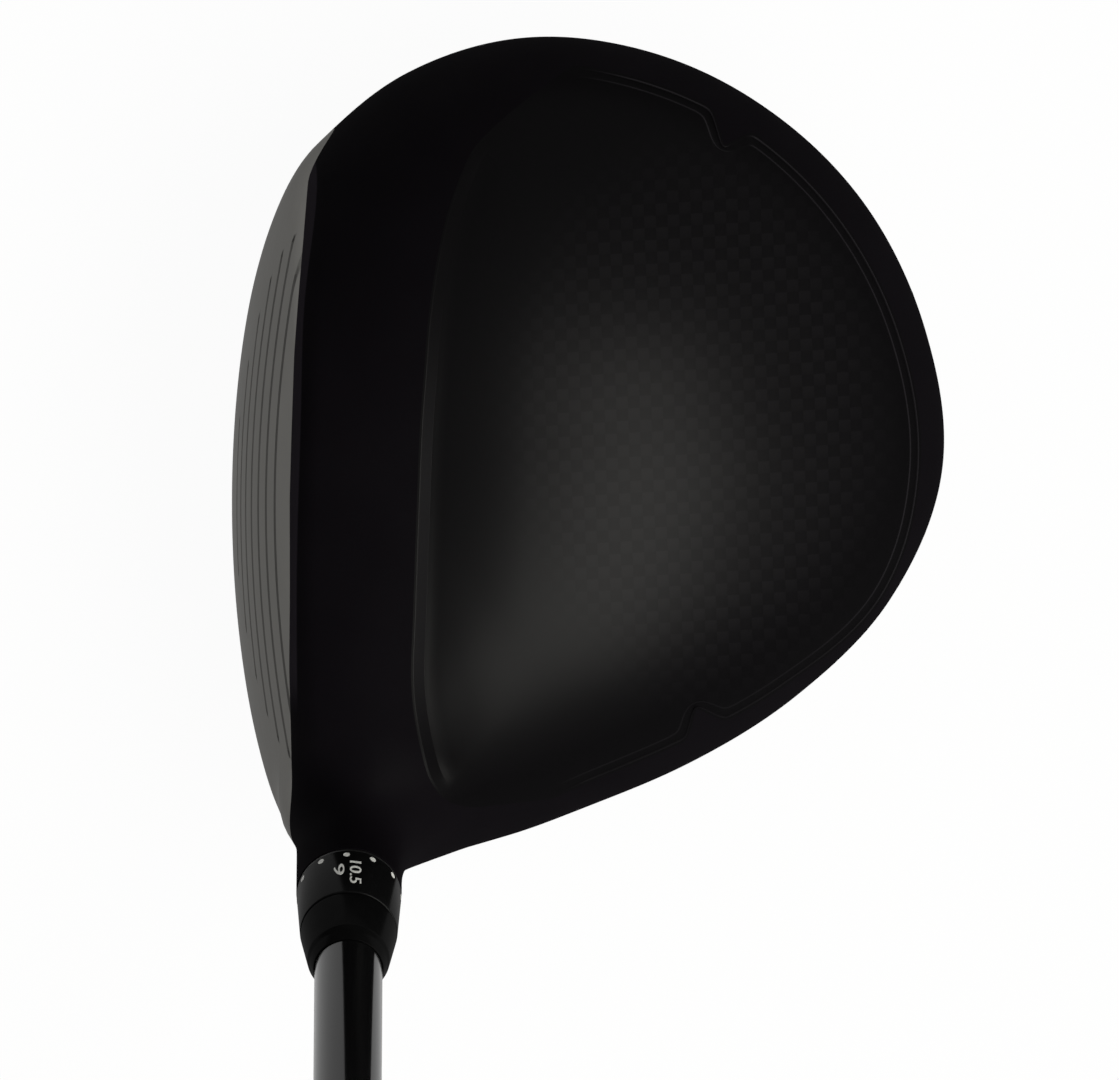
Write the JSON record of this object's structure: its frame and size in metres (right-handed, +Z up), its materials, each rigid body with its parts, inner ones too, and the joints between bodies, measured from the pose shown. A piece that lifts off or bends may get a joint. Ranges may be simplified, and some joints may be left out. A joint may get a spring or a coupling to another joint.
{
  "type": "golf driver",
  "caption": "Golf driver at address: hollow lofted head with a composite crown panel, adjustable splined hosel sleeve, tapered shaft and rubber grip.",
  "frame": {"origin": "on the shaft's axis in the middle of the grip, where hands hold the club", "axes": "club at address on level ground: +Z up, +X from the face to the rear of the head, +Y from the heel to the toe"},
  "size_m": [0.0983, 0.6972, 0.9856],
  "materials": {
    "frame_black": "satin black paint over a cast titanium shell",
    "face_metal": "brushed bare metal",
    "crown_composite": "clear-coated dark woven composite",
    "tube_metal": "machined",
    "washer_metal": "plain",
    "retainer_plastic": "moulded",
    "screw_metal": "machined",
    "port_metal": "satin",
    "weight_metal": "satin",
    "ring_rubber": "matt",
    "sleeve_black": "gloss black anodised",
    "ferrule_black": "gloss black",
    "shaft_black": "gloss black lacquer over graphite",
    "tape_cream": "double-sided tape",
    "grip_rubber": "textured rubber"
  },
  "bodies": {
    "head": {"head_frame": "frame_black", "face_plate": "face_metal", "crown_panel": "crown_composite", "hosel_tube": "tube_metal", "spline_ring": "tube_metal", "screw_washer": "washer_metal", "screw_retainer": "retainer_plastic", "weight_port": "port_metal", "rear_weight": "weight_metal"},
    "screw": {"hosel_screw": "screw_metal"},
    "ring": {"compression_ring": "ring_rubber"},
    "club_shaft": {"loft_sleeve": "sleeve_black", "ferrule": "ferrule_black", "shaft": "shaft_black", "grip_tape": "tape_cream", "grip": "grip_rubber", "grip_cap": "grip_rubber"},
    "bolt": {"weight_bolt": "screw_metal"}
  },
  "joints": [
    {"name": "hosel_screw_turn", "type": "hinge", "parent": "head", "child": "screw", "pos_m": [0, 0.49783, -0.81258], "axis": [0, -0.5075, 0.8616], "range_deg": [0, 2880]},
    {"name": "sleeve_lift", "type": "slide", "parent": "head", "child": "ring", "axis": [0, -0.5075, 0.8616], "range_m": [0, 0.0064]},
    {"name": "sleeve_index", "type": "hinge", "parent": "ring", "child": "club_shaft", "pos_m": [0, 0.49783, -0.81258], "axis": [0, -0.5075, 0.8616], "continuous": true},
    {"name": "weight_bolt_turn", "type": "hinge", "parent": "head", "child": "bolt", "pos_m": [0.0619, 0.55653, -0.85864], "axis": [0.3285, 0, -0.9445], "continuous": true}
  ],
  "couplings": [
    {"joint": "hosel_screw_turn", "follows": "sleeve_lift", "rad_per_m": 7853.9}
  ]
}
